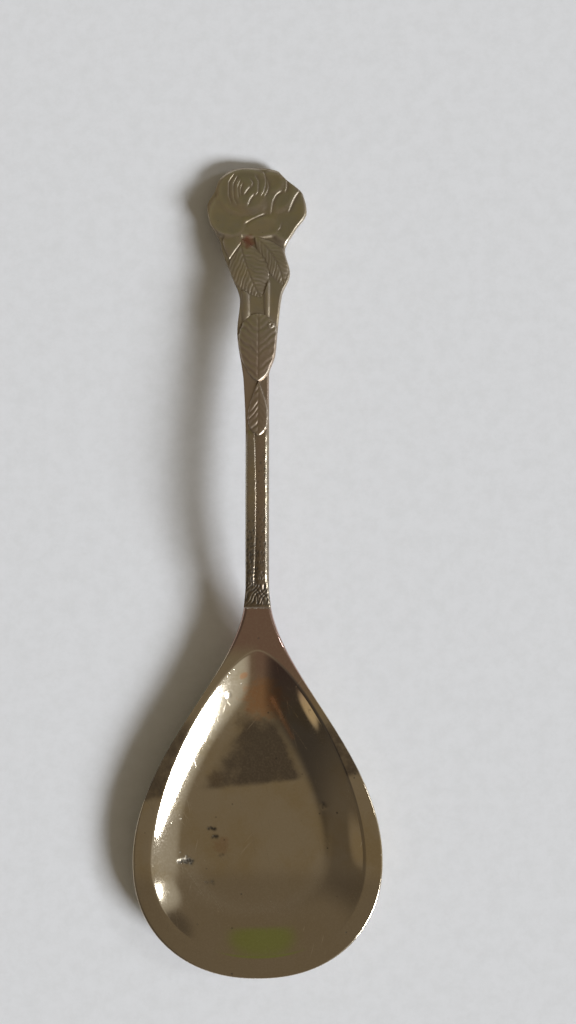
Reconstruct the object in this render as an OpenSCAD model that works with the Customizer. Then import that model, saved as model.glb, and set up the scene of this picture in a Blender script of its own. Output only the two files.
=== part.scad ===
// Sugar spoon with a rose handle
// A pressed bowl with a flat rim, and a die-struck handle soldered on to the bowl's tang.
// The spoon lies on a table: Z is up, Y runs along the handle to the rose, X runs across.

/* [Bowl] */
// Width of the bowl across its flat rim
bowl_w = 42.8; // [39:0.2:46]
// Width of the flat rim at the sides
rim_w = 3.1; // [2.2:0.1:4]
// Width of the flat rim at the tip
tip_rim_w = 3.4; // [2.4:0.1:4.4]
// Height of the rim over the table at the widest place
rim_h = 4.4; // [4:0.1:5.6]
// Thickness of the bowl's floor
floor_t = 1.2; // [0.8:0.1:1.6]
// Width of the neck where the handle starts
neck_w = 4.6; // [4.2:0.1:5.2]

/* [Handle] */
// Width of the stem
stem_w = 3.96; // [3.4:0.02:4.4]
// Thickness of the stem under its ornament
stem_t = 1.85; // [1.4:0.05:2.4]
// Thickness of the head under its ornament
head_t = 1.25; // [1:0.05:1.6]
// Radius of the handle's upper edges
edge_r = 0.35; // [0.15:0.05:0.45]

/* [Ornament] */
// Height of the two strands along the stem
strand_h = 0.45; // [0.2:0.05:0.6]
// Height of the leaves
leaf_h = 0.6; // [0.3:0.05:0.9]
// Depth of the groove along a leaf's middle
rib_d = 0.28; // [0.1:0.02:0.4]
// Height of the outer petals' lips
petal_h = 0.8; // [0.4:0.05:1]
// Rise from one layer of petals to the next
petal_rise = 0.13; // [0.06:0.01:0.18]
// Depth of a petal's hollow below its lip
petal_dish = 0.42; // [0.2:0.02:0.5]
// How much a petal leans up towards its free side
petal_tilt = 0.22; // [0:0.02:0.3]

/* [Solder joint] */
// Length of the tang under the handle
lap_l = 9.6; // [7:0.2:12]
// Thickness of the tang at its end
tang_t = 0.7; // [0.5:0.05:0.9]
// Thickness of the handle's foot at its end
foot_t = 0.5; // [0.4:0.05:0.8]
// Thickness of the solder
solder_t = 0.1; // [0.08:0.01:0.15]
// Width of the bead of solder in front of the handle's foot
bead_w = 0.25; // [0.15:0.05:0.4]

/* [Hidden] */

// Places along the spoon
tip_y = -70;
wide_y = -50.2;
arch_y = -14.2;
seam_y = -6.7;
lap_y = seam_y + lap_l;
head_y = 69;
top_y = 70;

// Height of the rim, the neck and the tang along the spoon
RIM_Z = [
    [tip_y, rim_h + 0.5], [wide_y, rim_h], [-38, rim_h - 0.04], [-28, rim_h],
    [arch_y, rim_h + 0.85], [seam_y, rim_h + 2.25], [5.5, rim_h + 3.1]
];
// Thickness of the bowl's sheet at the rim, the neck and the tang
SHEET_T = [[tip_y, 1.1], [-30, 1.2], [arch_y, 1.5], [seam_y, 1.4], [lap_y, tang_t]];
// Height of the handle's face under its ornament
FACE_Z = [
    [seam_y, curve(RIM_Z, seam_y) + solder_t + foot_t], [lap_y, curve(RIM_Z, lap_y) + stem_t - tang_t],
    [9, rim_h + 4.15], [20, rim_h + 3.7], [32, rim_h + 2.6], [45, 5.6], [57, 3.6], [top_y, head_t]
];
// Thickness of the handle under its ornament
BODY_T = [[lap_y, stem_t], [20, stem_t], [45, (stem_t + head_t) / 2], [57, head_t], [top_y, head_t]];
// Left and right edges of the handle: crests and notches of the foot, leaves and petals
LEFT_X = [
    [seam_y, -neck_w / 2], [-3, -stem_w / 2], [22, -stem_w / 2], [31.5, -2.35], [40.4, -3.5],
    [45.6, -3.05], [51, -4.85], [54.8, -6.25], [56.2, -6.5], [60, -8.45], [62.6, -8.9],
    [65.7, -7.5], [67.4, -6.95], [head_y, -5.5]
];
RIGHT_X = [
    [seam_y, neck_w / 2], [-3, stem_w / 2], [22, stem_w / 2], [32.8, 1.95], [36.2, 3],
    [39, 3.3], [42.3, 3.6], [46.7, 4.15], [50.7, 5.55], [54.8, 4.68], [58.4, 6.4],
    [61.8, 8.45], [65, 7.8], [67.6, 4.95], [head_y, 3.7]
];

// Bowl's outline: rounded below, drawn in to the neck above
bowl_n = 2.18;
side_pull = 17.4;
neck_pull = 12.6;
neck_lean = 2;
// The well's edge inside the flat rim, with a round arch at the neck
well_pull = 15.3;
arch_pull = 4.9;
well_y = -48;
// Part of the well that is level, where its wall begins, how wide the bend between the two is,
// and how much the wall steepens towards the rim
level_part = 0.45;
bend_part = 0.65;
bend_soft = 0.07;
wall_power = 1.45;

// Steps of the meshes
TIP_STEPS = 12;
SIDE_STEPS = 22;
NECK_STEPS = 5;
LAP_STEPS = 6;
WELL_PARTS = [1, 0.94, 0.88, 0.82, 0.77, 0.72, 0.68, 0.64, 0.59, 0.53, level_part, 0];
COLUMNS = 37;
BACK_COLUMNS = 8;

// Petals from the outermost to the heart of the rose:
// [middle x, middle y, half width, half height, turn, layer, free side]
PETALS = [
    [5.2, 61.2, 3.4, 5.8, -8, 0, 0],
    [-5.3, 61.2, 3.8, 4.4, 0, 0.2, 190],
    [-2.3, 65.5, 5.4, 4.8, 0, 0.3, 110],
    [4.1, 64.85, 2.6, 4, -30, 1, -30],
    [2.2, 67.2, 2.65, 2.3, 0, 1.5, 20],
    [-3.9, 58.7, 1.7, 1.4, 20, 0.3, 230],
    [0.55, 59, 3.4, 2.2, 14, 1.1, -70],
    [-1.7, 65, 4.7, 3.9, -41, 2, -50],
    [-2.4, 65.1, 3, 2.9, 0, 2.8, 215],
    [-2.1, 65.2, 2.1, 2.2, 0, 3.6, 325],
    [-1.9, 65.3, 1.1, 1.5, -10, 4.4, 215]
];
// Leaves and the sepal:
// [base x, base y, tip x, tip y, left width, right width, bend, fullest part, pointedness]
LEAVES = [
    [-0.6, 57.2, 4.4, 48.2, 2.3, 2.3, 1.1, 0.5, 0.8],
    [-3.2, 57, 0.5, 46.1, 3.7, 2.3, -0.5, 0.52, 0.8],
    [-3.7, 58.6, -5, 53, 1.5, 2, 0, 0.35, 0.9],
    [0.1, 31.7, 0.1, 43.8, 3.5, 3.6, 0, 0.62, 0.36],
    [0.1, 32.2, 0.1, 22.1, 1.85, 1.85, 0, 0.5, 0.5]
];
// Two short stalks under the rose: [lower x, lower y, upper x, upper y, half width]
STALKS = [[-1.9, 41.5, -2.2, 48.5, 0.85], [1.6, 42.5, 1.6, 50.5, 0.6]];

function clamp(v) = max(0, min(1, v));
function smooth(v) = let(t = clamp(v)) t * t * (3 - 2 * t);

// Smooth curve through [place, value] points that turns only at the points themselves
function span(points, s, i = 0) =
    i >= len(points) - 2 || s < points[i + 1][0] ? i : span(points, s, i + 1);
function rise(points, i) =
    (points[i + 1][1] - points[i][1]) / (points[i + 1][0] - points[i][0]);
function lean(points, i) =
    i == 0 ? rise(points, 0)
    : i == len(points) - 1 ? rise(points, i - 1)
    : let(a = rise(points, i - 1), b = rise(points, i)) a * b <= 0 ? 0 : 2 * a * b / (a + b);
function curve(points, s) =
    let(
        i = span(points, s),
        w = points[i + 1][0] - points[i][0],
        t = clamp((s - points[i][0]) / w),
        from = points[i][1],
        to = points[i + 1][1]
    )
    from * (1 + 2 * t) * (1 - t) ^ 2 + to * t * t * (3 - 2 * t)
    + w * t * (1 - t) * (lean(points, i) * (1 - t) - lean(points, i + 1) * t);

function bezier(a, b, c, d, t) =
    a * (1 - t) ^ 3 + b * 3 * t * (1 - t) ^ 2 + c * 3 * t * t * (1 - t) + d * t ^ 3;

// How far a rounded edge has dropped at a distance from the outline
function edge_drop(d, r) = d >= r ? 0 : r - sqrt(r * r - (r - d) ^ 2);

// Sews grids of points into one closed solid; each grid faces outward
function triangles(g, start) =
    let(n = len(g[0]))
    [
        for (r = [0 : len(g) - 2], c = [0 : n - 2])
            let(i = start + r * n + c, a = g[r][c], b = g[r][c + 1], d = g[r + 1][c], e = g[r + 1][c + 1])
                each concat(
                    a != b && a != d && b != d ? [[i, i + 1, i + n]] : [],
                    b != e && d != e && b != d ? [[i + 1, i + n + 1, i + n]] : []
                )
    ];
function size_of(g) = len(g) * len(g[0]);
function starts(grids, i = 0, sum = 0) =
    i == len(grids) ? [] : concat([sum], starts(grids, i + 1, sum + size_of(grids[i])));
module sewn(grids) {
    first = starts(grids);
    polyhedron(
        points = [for (g = grids, row = g) each row],
        faces = [for (k = [0 : len(grids) - 1]) each triangles(grids[k], first[k])],
        convexity = 6
    );
}
function turned(g) = [for (row = g) [for (i = [len(row) - 1 : -1 : 0]) row[i]]];
function mirrored(g) = turned([for (row = g) [for (p = row) [-p[0], p[1], p[2]]]]);
// A row of points stretched to another count by repeating points
function stretched(row, n) = [for (i = [0 : n - 1]) row[round(i * (len(row) - 1) / (n - 1))]];

// Places along the lap joint, where the tang, the solder and the handle all have a row
function lap_place(i) = seam_y + (lap_l - solder_t) * i / LAP_STEPS;
// How far the tang and the solder stay inside the handle's edges
side_gap = 0.02;

// Right half of a rounded end from its tip to its widest place
function round_end(half_w, end_y, steps) =
    [
        for (i = [0 : steps])
            let(a = 90 * i / steps)
                [half_w * sin(a) ^ (2 / bowl_n), wide_y - (wide_y - end_y) * cos(a) ^ (2 / bowl_n)]
    ];
// Right half of the bowl's outline, from the tip to the end of the tang
function side_point(t) =
    bezier(
        [bowl_w / 2, wide_y], [bowl_w / 2, wide_y + side_pull],
        [neck_w / 2 + neck_lean, seam_y - neck_pull], [neck_w / 2, seam_y], t
    );
// Part of the side's curve that lies beside the well
arch_t = 0.79;
OUTLINE = concat(
    round_end(bowl_w / 2, tip_y, TIP_STEPS),
    [for (i = [1 : SIDE_STEPS]) side_point(arch_t * i / SIDE_STEPS)],
    [for (i = [1 : NECK_STEPS]) side_point(arch_t + (1 - arch_t) * i / NECK_STEPS)],
    [
        for (i = [1 : LAP_STEPS])
            let(y = lap_place(i))
                [curve(RIGHT_X, y) - side_gap, y]
    ]
);
// Right half of the well's edge, then the spoon's middle line along the neck
well_w = bowl_w / 2 - rim_w;
INNER = concat(
    round_end(well_w, tip_y + tip_rim_w, TIP_STEPS),
    [
        for (i = [1 : SIDE_STEPS])
            bezier(
                [well_w, wide_y], [well_w, wide_y + well_pull],
                [arch_pull, arch_y], [0, arch_y], i / SIDE_STEPS
            )
    ],
    [for (i = [TIP_STEPS + SIDE_STEPS + 1 : len(OUTLINE) - 1]) [0, OUTLINE[i][1]]]
);
WELL_ROWS = TIP_STEPS + SIDE_STEPS;

// Points across the flat rim from the outline to the well's edge, on the upper or lower face;
// the edge's radius stays under a part of the sheet's thickness,
// and the sheet is a little thicker at the crease, where the wall turns down
rim_round = 0.4;
round_limit = 0.4;
crease_w = 0.4;
crease_t = 0.3;
// Where a rounded edge has its second row, as a part of its radius
round_part = 0.3;
function rim_row(i, upper) =
    let(
        o = OUTLINE[i],
        w = INNER[i],
        l = norm(w - o),
        r = min(rim_round, round_limit * curve(SHEET_T, o[1]))
    )
    [
        for (d = [0, r * round_part, r, l - crease_w, l])
            let(
                p = o + (w - o) * d / l,
                fall = edge_drop(d, r),
                top = curve(RIM_Z, p[1]),
                wall = i <= WELL_ROWS && d == l ? crease_t : 0
            )
                [p[0], p[1], upper ? top - fall : top - curve(SHEET_T, p[1]) + fall - wall]
    ];
// How far the well has risen at a part of the way from its middle to its edge
function bend(q) = norm([q - bend_part, bend_soft]) + q - bend_part;
function climb(q) = (max(0, bend(q) - bend(level_part)) / (bend(1) - bend(level_part))) ^ wall_power;
// Points down the well's wall from its edge to the middle of the floor
function well_row(i, upper) =
    let(w = INNER[i], edge = rim_row(i, upper)[4][2])
    [
        for (q = WELL_PARTS)
            let(
                p = [0, well_y] + (w - [0, well_y]) * q,
                level = upper ? floor_t : 0
            )
                [p[0], p[1], level + (edge - level) * climb(q)]
    ];

module bowl() {
    rows = [0 : len(OUTLINE) - 1];
    last = len(OUTLINE) - 1;
    rim_top = [for (i = rows) rim_row(i, true)];
    rim_back = turned([for (i = rows) rim_row(i, false)]);
    well_top = [for (i = [0 : WELL_ROWS]) well_row(i, true)];
    well_back = turned([for (i = [0 : WELL_ROWS]) well_row(i, false)]);
    edge = [for (i = rows) [rim_row(i, false)[0], rim_row(i, true)[0]]];
    tang_end = turned([rim_row(last, false), rim_row(last, true)]);
    right = [rim_top, rim_back, well_top, well_back, edge, tang_end];
    color([0.56, 0.5, 0.4]) sewn(concat(right, [for (g = right) mirrored(g)]));
}

// Relief of the stem: a flat strand, and a lower, rounded one beside it,
// which run out into a level pad at the foot and end at the lowest leaf:
// [middle x, half width, part of the height, flatness]
STRANDS = [[-0.97, 0.88, 1, 6], [0.7, 1.3, 0.76, 2]];
pad_y = -4;
strand_end_y = 25;
fade_l = 3;
pad_part = 0.35;
function dome(x, middle, half, flatness = 2) = sqrt(max(0, 1 - abs((x - middle) / half) ^ flatness));
function stem_relief(x, y) =
    let(
        top = max([for (s = STRANDS) s[2] * dome(x, s[0], s[1], s[3])]),
        along = smooth((y - pad_y) / fade_l)
    )
    smooth((strand_end_y - y) / fade_l) * strand_h * (top * along + pad_part * (1 - along));

// A stalk is a rounded strand that sinks away at both ends
stalk_h = leaf_h * 0.9;
stalk_fade = 6;
function stalk_relief(s, x, y) =
    let(t = clamp((y - s[1]) / (s[3] - s[1])), middle = s[0] + (s[2] - s[0]) * t)
    stalk_h * dome(x, middle, s[4]) * smooth(t * stalk_fade) * smooth((1 - t) * stalk_fade);

// A leaf is a pillow, pointed at both ends, with a groove along its middle
soft_edge = 0.3;
leaf_side = 0.55;
rib_half = 0.28;
function leaf_part(l, x, y) =
    let(
        axis = [l[2] - l[0], l[3] - l[1]],
        length = norm(axis),
        along = ([x - l[0], y - l[1]] * axis) / length / length,
        a = clamp(along),
        off = ((x - l[0]) * -axis[1] + (y - l[1]) * axis[0]) / length - l[6] * 4 * a * (1 - a),
        full = log(0.5) / log(l[7]),
        half = (off > 0 ? l[4] : l[5]) * max(0, sin(180 * a ^ full)) ^ l[8],
        across = half > 0.01 ? abs(off) / half : 1
    )
    along <= 0 || along >= 1 || across >= 1
        ? [0, 0]
        : [
            smooth((1 - across) * half / soft_edge),
            leaf_h * (leaf_side + (1 - leaf_side) * sqrt(1 - across ^ 2))
            - rib_d * exp(-(off / rib_half) ^ 2)
        ];
// A petal is a shallow dish: its lip stands highest, most of all on its free side
full_petal = 2.5;
function petal_part(p, x, y) =
    let(
        dx = x - p[0],
        dy = y - p[1],
        u = (dx * cos(p[4]) + dy * sin(p[4])) / p[2],
        v = (dy * cos(p[4]) - dx * sin(p[4])) / p[3],
        q = norm([u, v]),
        share = min(1, p[3] / full_petal),
        reach = (dx * cos(p[6]) + dy * sin(p[6])) / max(p[2], p[3])
    )
    q >= 1
        ? [0, 0]
        : [
            smooth((1 - q) * min(p[2], p[3]) / soft_edge),
            petal_h + petal_rise * p[5] + share * (petal_tilt * reach - petal_dish * (1 - q ^ 3))
        ];
// Lays each part over what is already there
function laid(parts, i, z) =
    i == len(parts) ? z : laid(parts, i + 1, z + (parts[i][1] - z) * parts[i][0]);
function relief(x, y) =
    let(
        stalks = max([for (s = STALKS) stalk_relief(s, x, y)]),
        leaves = [for (l = LEAVES) leaf_part(l, x, y)],
        petals = [for (p = PETALS) petal_part(p, x, y)]
    )
    laid(concat(leaves, petals), 0, max(stem_relief(x, y), stalks));

// Rows along the handle, closer together where the ornament is fine
leaves_from_y = 22;
rose_from_y = 45;
bud_from_y = 60;
arch_from_y = 63;
lap_slant = 0.05;
function evenly(from, to, n) = [for (i = [1 : n]) from + (to - from) * i / n];
STATIONS = concat(
    [seam_y, seam_y + edge_r * round_part, seam_y + edge_r],
    [for (i = [1 : LAP_STEPS]) lap_place(i)],
    [lap_y, lap_y + lap_slant],
    evenly(lap_y + lap_slant, leaves_from_y, 10),
    evenly(leaves_from_y, rose_from_y, 30),
    evenly(rose_from_y, bud_from_y, 26),
    evenly(bud_from_y, head_y - edge_r, 26),
    [head_y - edge_r * round_part, head_y]
);
// Rows near the end of the head arch up to the top of the rose
arch_power = 0.6;
function row_y(s, t) =
    let(near = smooth((s - arch_from_y) / (head_y - arch_from_y)))
    s + (top_y - head_y) * near * max(0, 1 - t * t) ^ arch_power;
function edges(s) = [curve(LEFT_X, s), curve(RIGHT_X, s)];
function end_gap(s) = min(s - seam_y, head_y - s);
// Columns: three close to each edge, the rest evenly between
EDGE_GAPS = [0, edge_r * round_part, edge_r];
function column_x(e, i, n) =
    i < 3 ? e[0] + EDGE_GAPS[i]
    : i > n - 4 ? e[1] - EDGE_GAPS[n - 1 - i]
    : e[0] + edge_r + (e[1] - e[0] - 2 * edge_r) * (i - 2) / (n - 5);
function face_row(s) =
    let(e = edges(s))
    [
        for (i = [0 : COLUMNS - 1])
            let(
                x = column_x(e, i, COLUMNS),
                t = (2 * x - e[0] - e[1]) / (e[1] - e[0]),
                y = row_y(s, t),
                gap = min(x - e[0], e[1] - x, end_gap(s))
            )
                [x, y, curve(FACE_Z, y) + relief(x, y) - edge_drop(gap, edge_r)]
    ];
// Roundness of the edges at the back
back_r = 0.3;
function back_z(y) =
    y <= lap_y ? curve(RIM_Z, y) + solder_t : curve(FACE_Z, y) - curve(BODY_T, y);
function back_row(s) =
    let(e = edges(s))
    [
        for (i = [0 : BACK_COLUMNS - 1])
            let(
                x = column_x(e, i, BACK_COLUMNS),
                t = (2 * x - e[0] - e[1]) / (e[1] - e[0]),
                y = row_y(s, t),
                gap = min(x - e[0], e[1] - x, head_y - s)
            )
                [x, y, back_z(y) + (y <= lap_y ? 0 : edge_drop(gap, edge_r) * back_r / edge_r)]
    ];

module handle() {
    face = [for (s = STATIONS) face_row(s)];
    back = [for (s = STATIONS) back_row(s)];
    rows = [0 : len(STATIONS) - 1];
    last = len(STATIONS) - 1;
    left = [for (i = rows) [face[i][0], back[i][0]]];
    right = [for (i = rows) [back[i][BACK_COLUMNS - 1], face[i][COLUMNS - 1]]];
    foot_end = [face[0], stretched(back[0], COLUMNS)];
    head_end = [stretched(back[last], COLUMNS), face[last]];
    color([0.5, 0.44, 0.34])
        sewn([turned(face), back, left, right, foot_end, head_end]);
}

// The solder runs under the handle's foot, with a bead in front and a thin web at the tang's end
web = 0.01;
bead_t = 0.03;
bead_part = 0.7;
function seam_ring(y, low, high) =
    let(half = curve(RIGHT_X, y) - side_gap)
    [[-half, y, low], [half, y, low], [half, y, high], [-half, y, high], [-half, y, low]];
module solder_seam() {
    film = [for (i = [0 : LAP_STEPS]) lap_place(i)];
    bead_y = seam_y - bead_w;
    tang_z = curve(RIM_Z, lap_y);
    under_z = tang_z - tang_t;
    rings = concat(
        [seam_ring(bead_y, curve(RIM_Z, bead_y), curve(RIM_Z, bead_y) + bead_t)],
        [seam_ring(seam_y - web, curve(RIM_Z, seam_y - web), curve(RIM_Z, seam_y) + foot_t * bead_part)],
        [for (y = film) seam_ring(y, curve(RIM_Z, y), curve(RIM_Z, y) + solder_t)],
        [seam_ring(lap_y - solder_t + web, under_z, tang_z + solder_t)],
        [seam_ring(lap_y - web, under_z, tang_z + solder_t)]
    );
    front = [[rings[0][3], rings[0][2]], [rings[0][0], rings[0][1]]];
    n = len(rings) - 1;
    rear = [[rings[n][0], rings[n][1]], [rings[n][3], rings[n][2]]];
    color([0.66, 0.63, 0.56]) sewn([rings, front, rear]);
}

bowl();
handle();
solder_seam();
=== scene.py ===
# %% [markdown]
# # A sugar spoon with a rose handle
# The spoon is three pieces of metal: a pressed bowl with a flat rim, a handle that was struck in a
# die with a rose and leaves, and the solder that joins the two at the neck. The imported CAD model
# gives each piece its place and size. This lesson builds each piece again with finer forms, gives
# it the finish of old plated metal, and lights it like a thing on a sheet of white paper.

import bpy
import bmesh
import numpy as np
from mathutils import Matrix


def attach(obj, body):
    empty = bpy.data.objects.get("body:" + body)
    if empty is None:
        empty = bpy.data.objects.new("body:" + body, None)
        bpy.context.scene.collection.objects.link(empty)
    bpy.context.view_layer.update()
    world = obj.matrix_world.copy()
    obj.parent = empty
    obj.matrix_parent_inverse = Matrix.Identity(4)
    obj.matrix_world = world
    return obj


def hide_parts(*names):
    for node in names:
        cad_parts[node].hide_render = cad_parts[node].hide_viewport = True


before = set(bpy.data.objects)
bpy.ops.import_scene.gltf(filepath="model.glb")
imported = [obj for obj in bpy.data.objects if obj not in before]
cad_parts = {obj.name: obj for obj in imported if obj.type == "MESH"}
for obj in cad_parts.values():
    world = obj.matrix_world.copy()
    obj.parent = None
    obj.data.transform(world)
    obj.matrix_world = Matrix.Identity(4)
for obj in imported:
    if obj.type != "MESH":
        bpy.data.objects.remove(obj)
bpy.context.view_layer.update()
print("CAD nodes:", sorted(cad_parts))

# %% [markdown]
# ## The camera
# The photo was taken by hand from above, so the long spoon fills the tall picture. A camera without
# any turn looks straight down along -Z with +Y at the top. A hand never holds it quite level: the
# bowl comes out a little large for its distance, so the camera leans by about a degree and a half.

# %% Set the camera above the table
MM = 0.001
scene = bpy.context.scene
camera = bpy.data.objects.new("camera", bpy.data.cameras.new("camera"))
scene.collection.objects.link(camera)
scene.camera = camera
camera.data.sensor_width = 36
camera.data.lens = 44.1
camera.data.clip_start = 0.01
camera.location = (5.2 * MM, 4.14 * MM, 220 * MM)
camera.rotation_euler.x = np.radians(1.42)
scene.view_settings.view_transform = "Standard"
camera_mm = [round(v / MM, 2) for v in camera.location]
print("camera at", camera_mm, "mm, lens", round(camera.data.lens, 2), "mm")

# %% [markdown]
# ## Curves for outlines and heights
# A spoon has hardly a straight line. Its outlines, heights and thicknesses are smooth curves
# through a few known places. A cubic curve through points is easy to write, but it may swing past
# a point. The slope used here is the harmonic mean of its two neighbours, and zero at a crest or a
# notch, so the curve turns only at the points themselves.

# %% Curve helpers
def clamp(v):
    return np.clip(v, 0, 1)


def smooth(v):
    t = clamp(v)
    return t * t * (3 - 2 * t)


def curve(points, s):
    """Value at s of the smooth curve through (place, value) points."""
    x, y = np.array(points, float).T
    rise = np.diff(y) / np.diff(x)
    a, b = rise[:-1], rise[1:]
    inner = np.where(a * b > 0, 2 * a * b / np.where(a * b > 0, a + b, 1), 0)
    lean = np.concatenate([rise[:1], inner, rise[-1:]])
    i = np.clip(np.searchsorted(x, s, side="right") - 1, 0, len(x) - 2)
    w = x[i + 1] - x[i]
    t = clamp((s - x[i]) / w)
    ends = y[i] * (1 + 2 * t) * (1 - t) ** 2 + y[i + 1] * t * t * (3 - 2 * t)
    return ends + w * t * (1 - t) * (lean[i] * (1 - t) - lean[i + 1] * t)


def bezier(a, b, c, d, t):
    t = np.asarray(t)[:, None]
    a, b, c, d = map(np.array, (a, b, c, d))
    return a * (1 - t) ** 3 + b * 3 * t * (1 - t) ** 2 + c * 3 * t * t * (1 - t) + d * t**3


def edge_drop(d, r):
    """How far a rounded edge of radius r has dropped at a distance d from the outline."""
    return r - np.sqrt(r * r - (r - np.clip(d, 0, r)) ** 2)


print("half way up a smooth step:", float(smooth(0.5)))

# %% [markdown]
# ## Sewing a solid from grids of points
# Every piece here is described by grids: rows of points along it, columns across it. A grid is
# easy to compute with numpy and gives tidy quads. Neighbouring grids share their border points, so
# welding equal points sews them into one closed mesh. Where a row runs to a single point, the
# quads collapse to triangles, and those with no area are dropped.

# %% Sew grids into a closed mesh
WELDS_PER_MM = 2000


def sewn(name, grids, fields=None):
    """Makes a closed smooth mesh from grids in mm; fields are values per point, grid by grid."""
    points = np.concatenate([g.reshape(-1, 3) for g in grids])
    keys = np.round(points * WELDS_PER_MM).astype(np.int64)
    _, first, weld = np.unique(keys, axis=0, return_index=True, return_inverse=True)
    weld = weld.reshape(-1)
    faces, start = [], 0
    for g in grids:
        n = weld[start : start + g.shape[0] * g.shape[1]].reshape(g.shape[:2])
        quads = np.stack([n[:-1, :-1], n[:-1, 1:], n[1:, 1:], n[1:, :-1]], -1).reshape(-1, 4)
        for quad in quads.tolist():
            corners = [v for k, v in enumerate(quad) if v != quad[k - 1]]
            if len(set(corners)) > 2:
                faces.append(corners)
        start += n.size
    mesh = bpy.data.meshes.new(name)
    mesh.from_pydata((points[first] * MM).tolist(), [], faces)
    for field, values in (fields or {}).items():
        layer = mesh.attributes.new(field, "FLOAT", "POINT")
        kept = np.concatenate([v.ravel() for v in values])[first]
        layer.data.foreach_set("value", kept.astype(np.float32))
    work = bmesh.new()
    work.from_mesh(mesh)
    bmesh.ops.recalc_face_normals(work, faces=work.faces)
    open_edges = sum(not e.is_manifold for e in work.edges)
    volume = work.calc_volume() / MM**3
    work.to_mesh(mesh)
    work.free()
    mesh.shade_smooth()
    piece = bpy.data.objects.new(name, mesh)
    scene.collection.objects.link(piece)
    print(f"{name}: {len(mesh.polygons)} faces, {open_edges} open edges, {volume:.1f} mm3")
    return piece


def mirrored(g):
    return g[:, ::-1] * np.array([-1, 1, 1])


def stretched(row, n):
    """A row of points with some of them repeated, so that it has n."""
    return row[np.round(np.linspace(0, len(row) - 1, n)).astype(int)]


def boxed(top, low):
    """The grids of a solid between an upper and a lower grid, with its two sides and two ends."""
    sides = [np.stack([top[:, k], low[:, k]], 1) for k in (0, -1)]
    ends = [np.stack([top[k], stretched(low[k], top.shape[1])], 0) for k in (0, -1)]
    return [top, low] + sides + ends


print("points closer than", 1 / WELDS_PER_MM, "mm are welded")

# %% [markdown]
# ## The outline of the bowl
# Seen from above, the bowl is a drop: nearly a circle below, drawn in to the neck above. The round
# end is a superellipse, a little fuller than an ellipse, and each side is one Bezier curve. The
# well has its own outline inside the flat rim, which ends in a round arch below the neck. Only the
# right half is made, and the left is its mirror image.

# %% Sizes of the bowl
BOWL_W, RIM_W, TIP_RIM_W, RIM_H, FLOOR_T = 42.8, 3.1, 3.4, 4.4, 1.2
NECK_W, STEM_W = 4.6, 3.96
TIP_Y, WIDE_Y, ARCH_Y, SEAM_Y, LAP_Y = -70, -50.2, -14.2, -6.7, 2.9
WELL_Y = -48
TANG_T, SOLDER_T, SIDE_GAP = 0.7, 0.1, 0.02
TIP_ROWS, SIDE_ROWS, NECK_ROWS, LAP_ROWS = 80, 150, 40, 40
ROUNDNESS = 2.18
SIDE_PULL, NECK_PULL, NECK_SPREAD = 17.4, 12.6, 2
WELL_PULL, ARCH_PULL = 15.3, 4.9
ARCH_PART = 0.8049
RIM_Z = [
    (TIP_Y, RIM_H + 0.5), (WIDE_Y, RIM_H), (-38, RIM_H - 0.04), (-28, RIM_H),
    (ARCH_Y, RIM_H + 0.85), (SEAM_Y, RIM_H + 2.25), (5.5, RIM_H + 3.1),
]
SHEET_T = [(TIP_Y, 1.1), (-30, 1.2), (ARCH_Y, 1.5), (SEAM_Y, 1.4), (LAP_Y, TANG_T)]
FOOT_HALF = [(SEAM_Y, NECK_W / 2), (-3, STEM_W / 2), (22, STEM_W / 2)]
print("rim", RIM_H, "mm high, floor", FLOOR_T, "mm thick")

# %% Outlines of the bowl and of its well
def round_end(half_w, end_y):
    a = np.linspace(0, np.pi / 2, TIP_ROWS + 1)
    x = half_w * np.sin(a) ** (2 / ROUNDNESS)
    y = WIDE_Y - (WIDE_Y - end_y) * np.cos(a).clip(0) ** (2 / ROUNDNESS)
    return np.stack([x, y], 1)


def side(t):
    low, neck = BOWL_W / 2, NECK_W / 2
    pulled = (low, WIDE_Y + SIDE_PULL), (neck + NECK_SPREAD, SEAM_Y - NECK_PULL)
    return bezier((low, WIDE_Y), *pulled, (neck, SEAM_Y), t)


def well_side(t):
    pulled = (well_half, WIDE_Y + WELL_PULL), (ARCH_PULL, ARCH_Y)
    return bezier((well_half, WIDE_Y), *pulled, (0, ARCH_Y), t)


def steps(n):
    return np.arange(1, n + 1) / n


well_half = BOWL_W / 2 - RIM_W
lap_y = SEAM_Y + (LAP_Y - SOLDER_T - SEAM_Y) * steps(LAP_ROWS)
outline = np.concatenate([
    round_end(BOWL_W / 2, TIP_Y),
    side(ARCH_PART * steps(SIDE_ROWS)),
    side(ARCH_PART + (1 - ARCH_PART) * steps(NECK_ROWS)),
    np.stack([curve(FOOT_HALF, lap_y) - SIDE_GAP, lap_y], 1),
])
well_rows = TIP_ROWS + SIDE_ROWS + 1
neck_y = outline[well_rows:, 1]
well_edge = np.concatenate([
    round_end(well_half, TIP_Y + TIP_RIM_W),
    well_side(steps(SIDE_ROWS)),
    np.stack([0 * neck_y, neck_y], 1),
])
bowl_w, well_w = 2 * outline[:, 0].max(), 2 * well_edge[:, 0].max()
print(f"bowl {bowl_w:.2f} mm wide, well {well_w:.2f} mm wide")

# %% [markdown]
# ## The section of the bowl
# A section from the edge to the middle goes over a rounded edge, a flat rim, a soft crease and a
# wall that grows flatter until it bends into a level floor. A polished bowl is a mirror, so any
# kink shows in its reflections. The bend is therefore a hyperbola, raised to a power so that the
# wall steepens towards the rim, and the crease is a parabola that meets the rim and the wall with
# their own slopes. The crease follows the well's edge all round, so it is measured square to it.

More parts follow.
